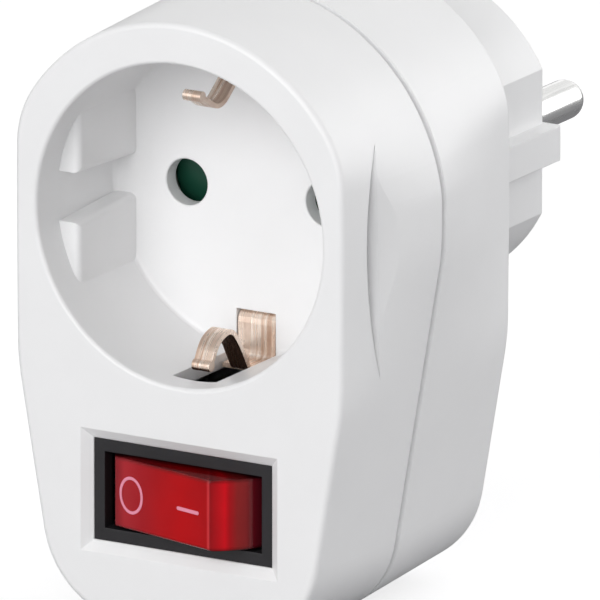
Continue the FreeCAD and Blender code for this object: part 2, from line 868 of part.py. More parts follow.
# A socket earth clip, drawn for the top: tail tab, plate in the floor slot, foot, and the arched finger with
# its rolled tip
def earth_clip(side, foot_ahead, finger):
    mid = clip_plate_top + strip / 2
    foot = recess_radius + recess_wall / 2
    plate_depth = recess_depth + window_clearance + strip / 2
    tab_depth = bar_front - strip / 2
    foot_end = recess_depth - foot_ahead
    finger_line = [(recess_depth - ahead, recess_radius - inside) for ahead, inside in finger]
    tail_line = [(tab_depth, mid - tail_tab), (tab_depth, mid), (plate_depth, mid)]
    plate_line = [(plate_depth, foot), (foot_end, foot)]
    body = bent_strip(rounded(tail_line + plate_line, foot_bend), clip_width)
    root = [(foot_end + foot_bend, foot), (foot_end, foot)]
    body = body.fuse(bent_strip(rounded(root + finger_line, finger_bend, 6), finger_width))
    tip = V(-finger_width / 2, *finger_line[-1])
    body = body.fuse(Part.makeCylinder(finger_roll, finger_width, tip, V(1, 0, 0)))
    body = body.cut(rod(0, bar_front - strip - past, bar_front + past, clip_rivet, rivet_radius))
    return body if side > 0 else body.mirror(V(0, 0, 0), V(0, 0, 1))


def earth_bar():
    end = clip_plate_top - bar_end_inset
    bar = box(-earth_bar_half_width, earth_bar_half_width, bar_front, bar_front + strip, -end, end)
    for height in (clip_rivet, -clip_rivet, link_rivet):
        bar = bar.cut(rod(0, bar_front - past, bar_front + strip + past, height, rivet_radius))
    return bar


def earth_link():
    tab_front = bar_front + strip
    tab_back = web_depth - strip
    body = box(-earth_bar_half_width, earth_bar_half_width, tab_front, tab_back + strip, link_height - strip,
               link_height)
    for depth in (tab_front, tab_back):
        tab = box(-earth_bar_half_width, earth_bar_half_width, depth, depth + strip, link_height - link_tab,
                  link_height)
        body = body.fuse(tab)
    for depth in (tab_front, tab_back):
        body = body.cut(rod(0, depth - snug, depth + strip + snug, link_rivet, rivet_radius))
    return body


# The plug's earth bracket: a web across the plug with a strip along each notch
def plug_earth_bracket():
    reach = plug_radius - notch_depth + strip
    body = box(-bracket_half_width, bracket_half_width, web_depth, web_depth + strip, -reach, reach)
    for side in (-1, 1):
        low, high = sorted((side * (reach - strip), side * reach))
        body = body.fuse(
            box(-bracket_half_width, bracket_half_width, web_depth, plug_face - bracket_end_inset, low, high)
        )
    body = body.cut(rod(0, web_depth - past, web_depth + strip + past, link_rivet, rivet_radius))
    return body


def earth_pin_sleeve():
    start = web_depth + strip
    outer = rod(0, start, face_inner, earth_hole_height, earth_hole_diameter / 2 + 2 * snug)
    return outer.cut(rod(0, start + strip, face_inner + past, earth_hole_height, pin_radius + pivot_clearance))


def rivet(front, height):
    body = rod(0, front, front + 2 * strip, height, rivet_radius)
    body = body.fuse(rod(0, front - rivet_head_height, front, height, rivet_head))
    return body.fuse(rod(0, front + 2 * strip, front + 2 * strip + rivet_head_height, height, rivet_head))


def earth_rivets():
    clip_front = bar_front - strip
    places = [(clip_front, clip_rivet), (clip_front, -clip_rivet), (bar_front, link_rivet)]
    places.append((web_depth - strip, link_rivet))
    return Part.makeCompound([rivet(front, height) for front, height in places])


def cross_screw(x, z, head_front, shank_length, radius, head_radius, head_height):
    body = rod(x, head_front - shank_length, head_front, z, radius)
    head = rod(x, head_front, head_front + head_height, z, head_radius)
    arm = head_radius * cross_reach
    half = cross_width / 2
    floor = head_front + head_height * (1 - cross_depth)
    for wide, tall in ((arm, half), (half, arm)):
        head = head.cut(box(x - wide, x + wide, floor, head_front + head_height + past, z - tall, z + tall))
    return body.fuse(head)


def housing_screws():
    seat = tube_start + tube_floor
    screws = [
        cross_screw(side * screw_x, screw_z, seat, screw_length, screw_radius, screw_head_radius, screw_head)
        for side in (-1, 1)
    ]
    return Part.makeCompound(screws)


def carrier_screws():
    screws = []
    for turn in (0, 180):
        angle = math.radians(post_angle + turn)
        x = post_reach * math.cos(angle)
        z = post_reach * math.sin(angle)
        screws.append(
            cross_screw(x, z, carrier_back, small_screw_length - small_screw_gap, small_screw_radius,
                        small_head_radius, small_head)
        )
    return Part.makeCompound(screws)


def switch_body():
    z = switch_height
    body = box(-switch_half_width, switch_half_width, switch_inset, base_depth, z - switch_half_height,
               z + switch_half_height)
    body = body.cut(
        box(-switch_opening_half, switch_opening_half, switch_inset - past, base_depth, z - side_height,
            z + side_height)
    )
    body = body.cut(
        box(-cavity_half_width, cavity_half_width, switch_inset + lip_thickness, base_depth + past,
            z - side_height, z + side_height)
    )
    pivot_hole = Part.makeCylinder(
        pivot_radius + pivot_clearance,
        2 * (rocker_half_height + pivot_reach + pivot_clearance),
        V(0, pivot_depth, z - rocker_half_height - pivot_reach - pivot_clearance),
        V(0, 0, 1),
    )
    return body.cut(pivot_hole)


def switch_base():
    z = switch_height
    end = base_depth + base_thickness
    plate = box(-switch_half_width, switch_half_width, base_depth, end, z - switch_half_height,
                z + switch_half_height)
    half_w = cavity_half_width - snug
    half_h = side_height - snug
    spigot = box(-half_w, half_w, base_depth - spigot_height, base_depth, z - half_h, z + half_h)
    half_w -= spigot_wall
    half_h -= spigot_wall
    spigot = spigot.cut(box(-half_w, half_w, base_depth - base_thickness, base_depth, z - half_h, z + half_h))
    base = plate.fuse(spigot)
    rest_top = fulcrum_depth + blade_right * math.sin(math.radians(blade_swing)) - knuckle_lift + snug
    rest_half = side_height - lap
    rest_end = blade_right + rest_width * rest_past
    base = base.fuse(
        box(rest_end - rest_width, rest_end, rest_top, base_depth + snug, z - rest_half, z + rest_half)
    )
    base = base.fuse(
        box(-cavity_half_width + lap, blade_right, fulcrum_depth - pole_wall_rise, base_depth + snug,
            z - pole_wall / 2, z + pole_wall / 2)
    )
    for pole in (-1, 1):
        middle = z + pole * pole_offset
        low = middle - blade_width / 2
        high = middle + blade_width / 2
        for x in (0, -contact_offset):
            half = tab_thickness / 2
            base = base.cut(box(x - half, x + half, base_depth - past, end + past, low, high))
        head = contact_radius + head_rim
        top = base_depth - base_thickness
        base = base.cut(box(-contact_offset - head, -contact_offset + head, top, base_depth + strip, low, high))
        base = base.cut(box(-cradle_half_width, cradle_half_width, top, base_depth + strip, low, high))
    return base


def pole_name(pole):
    return "live" if pole > 0 else "neutral"


# The see-saw blade of one pole, drawn level and then turned to its open rest position
def blade(pole):
    z = switch_height + pole * pole_offset
    low = z - blade_width / 2
    top = fulcrum_depth - knuckle_lift - blade_thickness
    body = box(-blade_left, blade_right, top, fulcrum_depth - knuckle_lift, low, low + blade_width)
    body = body.fuse(Part.makeCylinder(knuckle_radius, blade_width, V(0, fulcrum_depth, low), V(0, 0, 1)))
    body = body.fuse(
        rod(-contact_offset, fulcrum_depth - knuckle_lift, fulcrum_depth, z, contact_radius)
    )
    body.rotate(V(0, fulcrum_depth, z), V(0, 0, 1), blade_swing)
    return body


def in_terminal(pole):
    z = switch_height + pole * pole_offset
    low = z - blade_width / 2
    body = box(-cradle_half_width, cradle_half_width, fulcrum_depth, base_depth + strip, low,
               low + blade_width)
    body = body.fuse(
        box(-tab_thickness / 2, tab_thickness / 2, base_depth, tab_end, low, low + blade_width)
    )
    groove = Part.makeCylinder(
        knuckle_radius + cradle_clearance, blade_width + 2 * past, V(0, fulcrum_depth, low - past), V(0, 0, 1)
    )
    return body.cut(groove)


def out_terminal(pole):
    z = switch_height + pole * pole_offset
    low = z - blade_width / 2
    head = contact_radius + head_rim
    swing = math.radians(blade_swing)
    touch = fulcrum_depth + contact_offset * math.sin(swing) + contact_gap
    body = box(-contact_offset - head, -contact_offset + head, base_depth, base_depth + strip, low,
               low + blade_width)
    half = tab_thickness / 2
    body = body.fuse(
        box(-contact_offset - half, -contact_offset + half, base_depth, tab_end, low, low + blade_width)
    )
    return body.fuse(rod(-contact_offset, touch + contact_radius * math.sin(swing), base_depth, z,
                         contact_radius))


# The rocker's side view: a flat top between two round ends about the pivot, down to its skirts
def rocker_profile(radius, rise, skirt, z):
    flat = math.sqrt(radius**2 - rise**2)
    corner = math.atan2(rise, flat)

    def at(angle):
        return V(radius * math.cos(angle), pivot_depth - radius * math.sin(angle), z)

    middle = (corner + skirt) / 2
    left = [math.pi - a for a in (skirt, middle, corner)]
    edges = [
        arc(at(skirt), at(middle), at(corner)),
        line(at(corner), at(math.pi - corner)),
        arc(at(left[2]), at(left[1]), at(left[0])),
        line(at(left[0]), at(skirt)),
    ]
    return closed_face(edges)


def rocker_cover():
    low = switch_height - rocker_half_height
    skirt = math.radians(rocker_skirt_angle)
    outside = rocker_profile(rocker_radius, rocker_rise, skirt, low).extrude(V(0, 0, 2 * rocker_half_height))
    soft = []
    front = pivot_depth - rocker_rise
    for edge in outside.Edges:
        if all(abs(v.Y - front) < 0.01 for v in edge.Vertexes):
            soft.append(edge)
    outside = outside.makeFillet(rocker_edge_round, soft)
    inner_low = low + rocker_skin
    inner_high = 2 * (rocker_half_height - rocker_skin)
    inside = rocker_profile(
        rocker_radius - rocker_skin, rocker_rise - rocker_skin, 0.0, inner_low
    ).extrude(V(0, 0, inner_high))
    return outside.cut(inside)


def rocker_core():
    half = rocker_half_height - rocker_skin
    z = switch_height
    top = pivot_depth - core_top
    bottom = pivot_depth - core_bottom
    body = box(-core_half_length, core_half_length, top, bottom, z - half, z + half)
    reach = rocker_half_height + pivot_reach
    body = body.fuse(
        Part.makeCylinder(pivot_radius, 2 * reach, V(0, pivot_depth, z - reach), V(0, 0, 1))
    )
    for pole in (-1, 1):
        centre = z + pole * plunger_offset
        body = body.fuse(rod(0, bottom - snug, pivot_depth - socket_bottom, centre, socket_radius))
    for pole in (-1, 1):
        centre = z + pole * plunger_offset
        bore = plunger_radius + plunger_bore_gap
        body = body.cut(rod(0, top + bore_floor, pivot_depth - socket_bottom + past, centre, bore))
    saddle = Part.makeCylinder(
        lamp_radius, lamp_length, V(lamp_start, pivot_depth - lamp_centre_rise, z), V(1, 0, 0)
    )
    return body.cut(saddle)


def plungers():
    pieces = []
    for pole in (-1, 1):
        z = switch_height + pole * plunger_offset
        tip_centre = pivot_depth + plunger_reach - plunger_radius
        body = rod(0, tip_centre - plunger_length, tip_centre, z, plunger_radius)
        pieces.append(body.fuse(Part.makeSphere(plunger_radius, V(0, tip_centre, z))))
    return Part.makeCompound(pieces)


def plunger_springs():
    pieces = []
    start = pivot_depth - core_top + bore_floor
    end = pivot_depth + plunger_reach - plunger_radius - plunger_length
    wire = plunger_spring_wire
    turns = plunger_spring_turns
    pitch = (end - start - wire) / turns
    for pole in (-1, 1):
        z = switch_height + pole * plunger_offset
        pieces.append(coil(0, start + wire / 2, z, plunger_radius - wire / 2, wire, turns, pitch))
    return Part.makeCompound(pieces)


def neon_lamp():
    start = V(lamp_start + 2 * snug, pivot_depth - lamp_centre_rise, switch_height)
    return Part.makeCylinder(lamp_radius - pin_shank_gap, lamp_length - 4 * snug, start, V(1, 0, 0))


def lamp_resistor():
    z = switch_height
    return Part.makeCylinder(
        resistor_radius,
        resistor_length,
        V(-core_half_length + resistor_inset, pivot_depth - core_top - resistor_radius, z),
        V(1, 0, 0),
    )


def lamp_leads():
    z = switch_height
    lamp_depth = pivot_depth - lamp_centre_rise
    resistor_depth = pivot_depth - core_top - resistor_radius
    a = V(lamp_start + 2 * snug, lamp_depth, z)
    b = V(-core_half_length + resistor_inset + resistor_length, resistor_depth, z)
    gap = a - b
    return Part.makeCylinder(lead_radius, gap.Length, b, gap)


# A tube along straight runs joined by tangent arcs
def tube(points, radius):
    edges = []
    start = points[0]
    for i in range(1, len(points) - 1):
        p, c, n = points[i - 1], points[i], points[i + 1]
        a = (p - c) * (1 / (p - c).Length)
        b = (n - c) * (1 / (n - c).Length)
        half_turn = (math.pi - a.getAngle(b)) / 2
        reach = 0.45 * min((p - c).Length, (n - c).Length)
        bend = reach / math.tan(half_turn)
        into = c + a * reach
        out = c + b * reach
        bisector = (a + b) * (1 / (a + b).Length)
        middle = c + bisector * (bend / math.cos(half_turn) - bend)
        edges.append(line(start, into))
        edges.append(arc(into, middle, out))
        start = out
    edges.append(line(start, points[-1]))
    path = Part.Wire(edges)
    direction = points[1] - points[0]
    section = Part.Wire(Part.makeCircle(radius, points[0], direction))
    return path.makePipeShell([section], True, False)


def wires():
    live = switch_height + pole_offset
    neutral = switch_height - pole_offset
    start = sleeve_back
    room = body_depth - rear_wall - start
    tail = face_inner - pin_collar - pin_tail
    under_edge = -plug_inner - wire_entry
    over_edge = -plug_inner + wire_inset
    solder = carrier_back + leaf_thickness + wire_radius
    solder_start = -tail_reach - solder_length
    solder_end = solder_length - tail_reach
    swing_x = pin_x + wire_swing
    routes = {
        "live_in_wire": [
            V(0, start, live),
            V(0, start + 0.62 * room, live),
            V(-pin_x / 2, start + 0.64 * room, under_edge),
            V(-pin_x, tail - wire_slope, over_edge),
            V(-pin_x, tail - wire_straight, 0),
            V(-pin_x, tail, 0),
        ],
        "neutral_in_wire": [
            V(0, start, neutral),
            V(0, start + 0.64 * room, neutral),
            V(0.7 * pin_x, start + 0.7 * room, neutral + wire_rise),
            V(0.75 * pin_x, start + 0.57 * room, under_edge),
            V(pin_x, tail - wire_slope, over_edge),
            V(pin_x, tail - wire_straight, 0),
            V(pin_x, tail, 0),
        ],
        "live_out_wire": [
            V(-contact_offset, start, live),
            V(-contact_offset, start + 0.5 * room, live),
            V(-pin_x, start + 0.35 * room, live + wire_rise),
            V(-pin_x, solder, solder_start),
            V(-pin_x, solder, solder_end),
        ],
        "neutral_out_wire": [
            V(-contact_offset, start, neutral),
            V(-contact_offset, start + 0.49 * room, neutral),
            V(-contact_offset / 2, start + 0.54 * room, neutral - wire_dip),
            V(0.8 * pin_x, start + 0.54 * room, neutral - wire_dip),
            V(swing_x, start + 0.41 * room, neutral + wire_dip),
            V(swing_x, start + 0.2 * room, solder_start - wire_level),
            V(pin_x, solder, solder_start),
            V(pin_x, solder, solder_end),
        ],
    }
    return {name: tube(points, wire_radius) for name, points in routes.items()}


def tab_sleeves():
    pieces = []
    for pole in (-1, 1):
        z = switch_height + pole * pole_offset
        for x in (0, -contact_offset):
            outer = box(x - sleeve_width / 2, x + sleeve_width / 2, sleeve_front, sleeve_back,
                        z - sleeve_height / 2, z + sleeve_height / 2)
            pocket = box(x - tab_thickness / 2, x + tab_thickness / 2, sleeve_front - past, tab_end,
                         z - blade_width / 2, z + blade_width / 2)
            pieces.append(outer.cut(pocket))
    return Part.makeCompound(pieces)


save("front_shell", front_shell())
save("rear_shell", rear_shell())
save("live_pin", plug_pin(-1))
save("neutral_pin", plug_pin(1))
save("contact_carrier", contact_carrier())
save("shutter", shutter())
save("shutter_spring", coil(0, shutter_back - shutter_pocket + spring_wire / 2 + snug, 0, spring_mean_radius,
                            spring_wire, spring_turns, spring_pitch))
save("live_contact", socket_contact(-1))
save("neutral_contact", socket_contact(1))
save("upper_earth_clip", earth_clip(1, upper_foot, upper_finger))
save("lower_earth_clip", earth_clip(-1, lower_foot, lower_finger))
save("earth_bar", earth_bar())
save("earth_link", earth_link())
save("plug_earth_bracket", plug_earth_bracket())
save("earth_pin_sleeve", earth_pin_sleeve())
save("earth_rivets", earth_rivets())
save("carrier_screws", carrier_screws())
save("housing_screws", housing_screws())
save("switch_body", switch_body())
save("switch_base", switch_base())
for pole in (-1, 1):
    save(pole_name(pole) + "_blade", blade(pole))
    save(pole_name(pole) + "_in_terminal", in_terminal(pole))
    save(pole_name(pole) + "_out_terminal", out_terminal(pole))
save("rocker_cover", pressed(rocker_cover()))
save("rocker_core", pressed(rocker_core()))
save("plungers", pressed(plungers()))
save("plunger_springs", pressed(plunger_springs()))
save("neon_lamp", pressed(neon_lamp()))
save("lamp_resistor", pressed(lamp_resistor()))
save("lamp_leads", pressed(lamp_leads()))
save("tab_sleeves", tab_sleeves())
for name, shape in wires().items():
    save(name, shape)
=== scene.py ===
import json
import math

import bmesh
import bpy
from mathutils import Matrix, Vector


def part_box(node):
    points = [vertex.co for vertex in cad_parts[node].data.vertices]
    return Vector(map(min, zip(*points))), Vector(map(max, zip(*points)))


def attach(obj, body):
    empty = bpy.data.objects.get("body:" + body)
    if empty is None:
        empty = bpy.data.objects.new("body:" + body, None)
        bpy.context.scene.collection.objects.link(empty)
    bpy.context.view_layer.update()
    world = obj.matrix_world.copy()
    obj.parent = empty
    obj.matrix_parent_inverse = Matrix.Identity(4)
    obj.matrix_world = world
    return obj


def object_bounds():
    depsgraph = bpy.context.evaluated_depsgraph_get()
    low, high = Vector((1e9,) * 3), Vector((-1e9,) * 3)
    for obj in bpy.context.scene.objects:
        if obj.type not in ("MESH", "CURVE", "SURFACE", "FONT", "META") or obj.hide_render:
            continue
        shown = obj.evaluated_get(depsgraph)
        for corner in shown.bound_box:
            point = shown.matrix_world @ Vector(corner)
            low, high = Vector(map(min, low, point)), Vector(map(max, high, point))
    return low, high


# The looks of a plug-in switched socket adaptor: glossy white shells, a round recess with copper earth clips
# and a green shutter, a red rocker with printed marks in a black frame, and plated pins at the back.

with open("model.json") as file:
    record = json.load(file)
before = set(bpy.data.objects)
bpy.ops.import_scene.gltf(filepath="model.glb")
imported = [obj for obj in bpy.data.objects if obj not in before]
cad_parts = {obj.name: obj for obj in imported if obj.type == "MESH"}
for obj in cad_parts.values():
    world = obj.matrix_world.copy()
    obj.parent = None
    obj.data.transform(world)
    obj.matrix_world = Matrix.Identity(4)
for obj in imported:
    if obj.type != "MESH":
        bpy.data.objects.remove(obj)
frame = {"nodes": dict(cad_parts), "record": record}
cad_low, cad_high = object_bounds()
nodes = frame["nodes"]
scene = bpy.context.scene
mm = 0.001

# The camera and the lamps stand round one point, which is at the image's centre. Their turns are in degrees
# from the front towards the right, and their rises in degrees above the level. The camera's turn and rise are
# measured from the photograph.
aim = Vector((4.47 * mm, -35.4 * mm, -12.9 * mm))
camera_turn = 31.0
camera_rise = 15.5
camera_distance = 3.35
nearest_seen = 0.1
furthest_seen = 20.0
image_side = 600
pixels_per_mm = 8.56
sensor_width = 36.0


def place_round_aim(piece, turn, rise, distance):
    turn = math.radians(turn)
    rise = math.radians(rise)
    away = Vector((math.sin(turn) * math.cos(rise), -math.cos(turn) * math.cos(rise), math.sin(rise)))
    piece.location = aim + away * distance
    piece.rotation_euler = away.to_track_quat("Z", "Y").to_euler()
    scene.collection.objects.link(piece)


def make_camera():
    data = bpy.data.cameras.new("camera")
    data.sensor_width = sensor_width
    data.lens = pixels_per_mm * camera_distance / mm / image_side * sensor_width
    data.clip_start = nearest_seen
    data.clip_end = furthest_seen
    camera = bpy.data.objects.new("camera", data)
    place_round_aim(camera, camera_turn, camera_rise, camera_distance)
    scene.camera = camera


# The middle of the rocker's axis, about which its tones are turned and its marks are placed
rocker_pivot = Vector((0.0, -48.3 * mm, -33.5 * mm))

# Node tools: new nodes, noise on the object's own coordinates, and a change of range. Noise lies mostly
# between these two values.
noise_low = 0.3
noise_high = 0.7


def add(tree, kind, **settings):
    node = tree.nodes.new(kind)
    for key, value in settings.items():
        setattr(node, key, value)
    return node


def object_noise(tree, scale, detail=2.0, roughness=0.5):
    place = add(tree, "ShaderNodeTexCoord")
    noise = add(tree, "ShaderNodeTexNoise")
    noise.inputs["Scale"].default_value = scale
    noise.inputs["Detail"].default_value = detail
    noise.inputs["Roughness"].default_value = roughness
    tree.links.new(place.outputs["Object"], noise.inputs["Vector"])
    return noise.outputs["Fac"]


def remap(tree, value, low, high, from_low=noise_low, from_high=noise_high):
    node = add(tree, "ShaderNodeMapRange")
    node.inputs["From Min"].default_value = from_low
    node.inputs["From Max"].default_value = from_high
    node.inputs["To Min"].default_value = low
    node.inputs["To Max"].default_value = high
    tree.links.new(value, node.inputs["Value"])
    return node.outputs["Result"]


# A surface group puts out a colour, a roughness and a normal. Its last inputs are the same in each group: the
# roughness and how much it varies, the strength of the fine grain, and the radius of the arrises.
colour_socket = "NodeSocketColor"
number_socket = "NodeSocketFloat"
vector_socket = "NodeSocketVector"
finish_inputs = {
    "Roughness": number_socket,
    "Unevenness": number_socket,
    "Grain": number_socket,
    "Arris": number_socket,
}
surface_outputs = {"Colour": colour_socket, "Roughness": number_socket, "Normal": vector_socket}
arris_rays = 6


def surface_group(name, colour_inputs):
    group = bpy.data.node_groups.new(name, "ShaderNodeTree")
    for socket, kind in {**colour_inputs, **finish_inputs}.items():
        group.interface.new_socket(socket, in_out="INPUT", socket_type=kind)
    for socket, kind in surface_outputs.items():
        group.interface.new_socket(socket, in_out="OUTPUT", socket_type=kind)
    return group, add(group, "NodeGroupInput"), add(group, "NodeGroupOutput")


# The gloss varies with one pattern, and the grain's height with another, on rounded arrises.
def finish_surface(group, source, result, gloss, grain, grain_depth):
    link = group.links.new
    rough = add(group, "ShaderNodeMath", operation="MULTIPLY_ADD")
    link(gloss, rough.inputs[0])
    link(source.outputs["Unevenness"], rough.inputs[1])
    link(source.outputs["Roughness"], rough.inputs[2])
    link(rough.outputs[0], result.inputs["Roughness"])
    bevel = add(group, "ShaderNodeBevel", samples=arris_rays)
    link(source.outputs["Arris"], bevel.inputs["Radius"])
    bump = add(group, "ShaderNodeBump")
    bump.inputs["Distance"].default_value = grain_depth
    link(source.outputs["Grain"], bump.inputs["Strength"])
    link(grain, bump.inputs["Height"])
    link(bevel.outputs["Normal"], bump.inputs["Normal"])
    link(bump.outputs["Normal"], result.inputs["Normal"])


# A new material with a surface group joined to its shader
def surfaced_material(name, group, values):
    material = bpy.data.materials.new(name)
    material.use_nodes = True
    tree = material.node_tree
    shader = tree.nodes["Principled BSDF"]
    surface = add(tree, "ShaderNodeGroup", node_tree=group, name="surface")
    for socket, value in values.items():
        surface.inputs[socket].default_value = value
    tree.links.new(surface.outputs["Colour"], shader.inputs["Base Color"])
    tree.links.new(surface.outputs["Roughness"], shader.inputs["Roughness"])
    tree.links.new(surface.outputs["Normal"], shader.inputs["Normal"])
    return material


# A moulded surface: colour that drifts a little in wide clouds, finer specks of unevenness in gloss, and a
# very fine grain. The scales are in noise cells per metre.
cloud_scale = 90.0
cloud_detail = 3.0
speck_scale = 350.0
grain_scale = 2600.0
plastic_grain_depth = 0.04 * mm


def moulded_group():
    group, source, result = surface_group(
        "moulded_surface", {"Colour": colour_socket, "Drift": number_socket})
    link = group.links.new
    shade = remap(group, object_noise(group, cloud_scale, cloud_detail), -1.0, 1.0)
    drift = add(group, "ShaderNodeMath", operation="MULTIPLY_ADD")
    link(shade, drift.inputs[0])
    link(source.outputs["Drift"], drift.inputs[1])
    drift.inputs[2].default_value = 1.0
    colour = add(group, "ShaderNodeVectorMath", operation="SCALE")
    link(source.outputs["Colour"], colour.inputs[0])
    link(drift.outputs[0], colour.inputs["Scale"])
    link(colour.outputs[0], result.inputs["Colour"])
    gloss = remap(group, object_noise(group, speck_scale), -1.0, 1.0)
    finish_surface(group, source, result, gloss, object_noise(group, grain_scale), plastic_grain_depth)
    return group


moulded = moulded_group()


def moulded_plastic(name, colour, roughness, drift=0.012, unevenness=0.015, grain=0.04, arris=0.15 * mm):
    return surfaced_material(name, moulded, {
        "Colour": (*colour, 1.0),
        "Drift": drift,
        "Roughness": roughness,
        "Unevenness": unevenness,
        "Grain": grain,
        "Arris": arris,
    })


# Rolled or drawn metal: streaks along one direction, with a little tarnish between them, vary its colour and
# gloss, and the streaks its height. Streaks are given as cells per metre along each axis.
streak_detail = 4.0
tarnish_scale = 260.0
tarnish_detail = 4.0
tarnish_roughness = 0.65
streak_share = 0.72
streak_low = 0.38
streak_high = 0.62
metal_grain_depth = 0.03 * mm


def metal_group():
    group, source, result = surface_group(
        "streaked_metal", {"Bright": colour_socket, "Dull": colour_socket, "Streaks": vector_socket})
    link = group.links.new
    place = add(group, "ShaderNodeTexCoord")
    stretch = add(group, "ShaderNodeVectorMath", operation="MULTIPLY")
    link(place.outputs["Object"], stretch.inputs[0])
    link(source.outputs["Streaks"], stretch.inputs[1])
    streak = add(group, "ShaderNodeTexNoise")
    streak.inputs["Scale"].default_value = 1.0
    streak.inputs["Detail"].default_value = streak_detail
    link(stretch.outputs[0], streak.inputs["Vector"])
    tarnish = object_noise(group, tarnish_scale, tarnish_detail, tarnish_roughness)
    blend = add(group, "ShaderNodeMix")
    blend.inputs["Factor"].default_value = streak_share
    link(tarnish, blend.inputs["A"])
    link(streak.outputs["Fac"], blend.inputs["B"])
    dullness = remap(group, blend.outputs["Result"], 0.0, 1.0, streak_low, streak_high)
    mix = add(group, "ShaderNodeMix", data_type="RGBA")
    link(dullness, mix.inputs["Factor"])
    link(source.outputs["Bright"], mix.inputs["A"])
    link(source.outputs["Dull"], mix.inputs["B"])
    link(mix.outputs["Result"], result.inputs["Colour"])
    finish_surface(group, source, result, dullness, streak.outputs["Fac"], metal_grain_depth)
    return group


streaked = metal_group()


def rolled_metal(name, bright, dull, streaks, roughness, metal=1.0):
    material = surfaced_material(name, streaked, {
        "Bright": (*bright, 1.0),
        "Dull": (*dull, 1.0),
        "Streaks": streaks,
        "Roughness": roughness,
        "Unevenness": 0.15,
        "Grain": 0.5,
        "Arris": 0.1 * mm,
    })
    material.node_tree.nodes["Principled BSDF"].inputs["Metallic"].default_value = metal
    return material


# The copper strips get a painted shade, dark brown, where they face down into the lower earth slot. The first
# two values are the upward parts of the face's direction, and the next two are heights.
shade_facing_start = -0.15
shade_facing_full = -0.45
shade_start_height = -10.0 * mm
shade_full_height = -12.0 * mm
slot_shade_tone = (0.11, 0.060, 0.042, 1.0)


def copper_strip(streaks):
    material = rolled_metal(
        "copper_strip", (0.98, 0.84, 0.73), (0.58, 0.40, 0.30), streaks, roughness=0.22, metal=0.65)
    tree = material.node_tree
    link = tree.links.new
    # Painted shade: the colour goes towards dark brown on faces that look down, below the given heights
    face = add(tree, "ShaderNodeNewGeometry")
    direction = add(tree, "ShaderNodeSeparateXYZ")
    link(face.outputs["True Normal"], direction.inputs[0])
    downward = remap(tree, direction.outputs["Z"], 0.0, 1.0, shade_facing_start, shade_facing_full)
    place = add(tree, "ShaderNodeTexCoord")
    axes = add(tree, "ShaderNodeSeparateXYZ")
    link(place.outputs["Object"], axes.inputs[0])
    low = remap(tree, axes.outputs["Z"], 0.0, 1.0, shade_start_height, shade_full_height)
    share = add(tree, "ShaderNodeMath", operation="MULTIPLY")
    link(downward, share.inputs[0])
    link(low, share.inputs[1])
    mix = add(tree, "ShaderNodeMix", data_type="RGBA")
    link(share.outputs[0], mix.inputs["Factor"])
    link(tree.nodes["surface"].outputs["Colour"], mix.inputs["A"])
    mix.inputs["B"].default_value = slot_shade_tone
    link(mix.outputs["Result"], tree.nodes["Principled BSDF"].inputs["Base Color"])
    return material


# The rocker's clear red plastic, by its angle round the pivot in degrees, with painted light and shade in its
# tones.
# Its colour deepens round the curved end as a painted shade, with a painted highlight line at the ridge and a
# painted highlight band behind it, and it is paler near the pressed end, with a painted shade at that end's
# edge.
lens_tones_and_painted_light = [
    # painted shade at the pressed end's edge
    (-60.0, (0.16, 0.012, 0.018)),
    (-50.0, (0.52, 0.030, 0.040)),
    (-36.0, (0.50, 0.016, 0.024)),
    (-16.0, (0.56, 0.008, 0.012)),
    (8.0, (0.60, 0.004, 0.007)),
    (28.8, (0.46, 0.004, 0.007)),
    # painted highlight line at the ridge
    (29.9, (0.74, 0.050, 0.060)),
    (31.0, (0.34, 0.004, 0.008)),
    (37.0, (0.60, 0.004, 0.010)),
    # painted highlight band behind the ridge
    (40.0, (0.74, 0.004, 0.012)),
    (43.0, (0.46, 0.005, 0.010)),
    # painted shade deepening round the curved end
    (48.0, (0.32, 0.020, 0.020)),
    (53.0, (0.30, 0.020, 0.022)),
    (58.0, (0.13, 0.006, 0.012)),
    (66.0, (0.07, 0.004, 0.010)),
]

# A new stop of the ramp starts here, before it gets its own place.
new_stop_place = 0.5

# Painted shade: the tones fall to this share on the rocker's upper and lower sides, over this depth from
# them.
lens_side_painted_shade = 0.4
lens_side_depth = 0.45 * mm


def lens_ramp(tree, angle):
    start = math.radians(lens_tones_and_painted_light[0][0])
    end = math.radians(lens_tones_and_painted_light[-1][0])
    ramp = add(tree, "ShaderNodeValToRGB")
    stops = ramp.color_ramp.elements
    while len(stops) < len(lens_tones_and_painted_light):
        stops.new(new_stop_place)
    for stop, (degrees, tone) in zip(stops, lens_tones_and_painted_light):
        stop.position = (math.radians(degrees) - start) / (end - start)
        stop.color = (*tone, 1.0)
    tree.links.new(remap(tree, angle, 0.0, 1.0, start, end), ramp.inputs["Fac"])
    return ramp.outputs["Color"]


